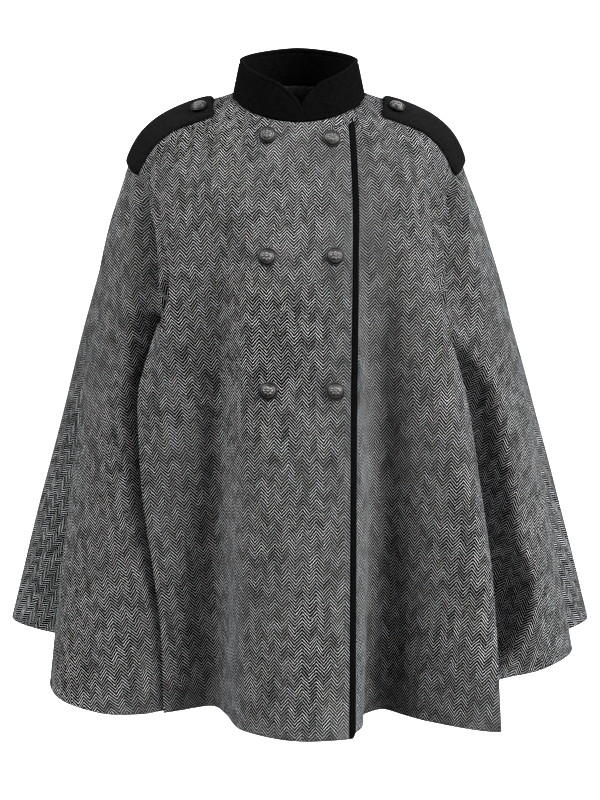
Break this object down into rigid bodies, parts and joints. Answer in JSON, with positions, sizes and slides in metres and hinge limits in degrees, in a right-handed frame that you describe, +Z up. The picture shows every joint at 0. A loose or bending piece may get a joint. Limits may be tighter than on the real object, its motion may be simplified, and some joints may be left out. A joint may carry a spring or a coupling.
{
  "type": "cape coat",
  "caption": "Hip-length wool cape coat with a stand collar, double-breasted button front, arm slits, shoulder straps and a wide folded hem.",
  "frame": {"origin": "middle of the neck seam, level with the two side-neck points, where the coat hangs from the wearer's shoulders", "axes": "+Z up, -Y the front, +X the wearer's left"},
  "size_m": [0.7806, 0.5398, 0.7996],
  "materials": {
    "herringbone_tweed": "black and off-white wool herringbone tweed, 16 mm repeat, soft nap",
    "black_felted_wool": "black felted wool, matt, with a light topstitch",
    "antique_pewter": "antiqued pewter, satin, darker in its recesses"
  },
  "bodies": {
    "root": {"back": "herringbone_tweed", "front_right": "herringbone_tweed", "front_left": "herringbone_tweed", "side_right": "herringbone_tweed", "side_left": "herringbone_tweed", "front_binding": "black_felted_wool", "collar": "black_felted_wool", "neck_facing": "black_felted_wool", "epaulette_right": "black_felted_wool", "epaulette_left": "black_felted_wool", "button_right_1": "antique_pewter", "button_right_2": "antique_pewter", "button_right_3": "antique_pewter", "button_left_1": "antique_pewter", "button_left_2": "antique_pewter", "button_left_3": "antique_pewter", "epaulette_button_right": "antique_pewter", "epaulette_button_left": "antique_pewter"}
  },
  "joints": []
}
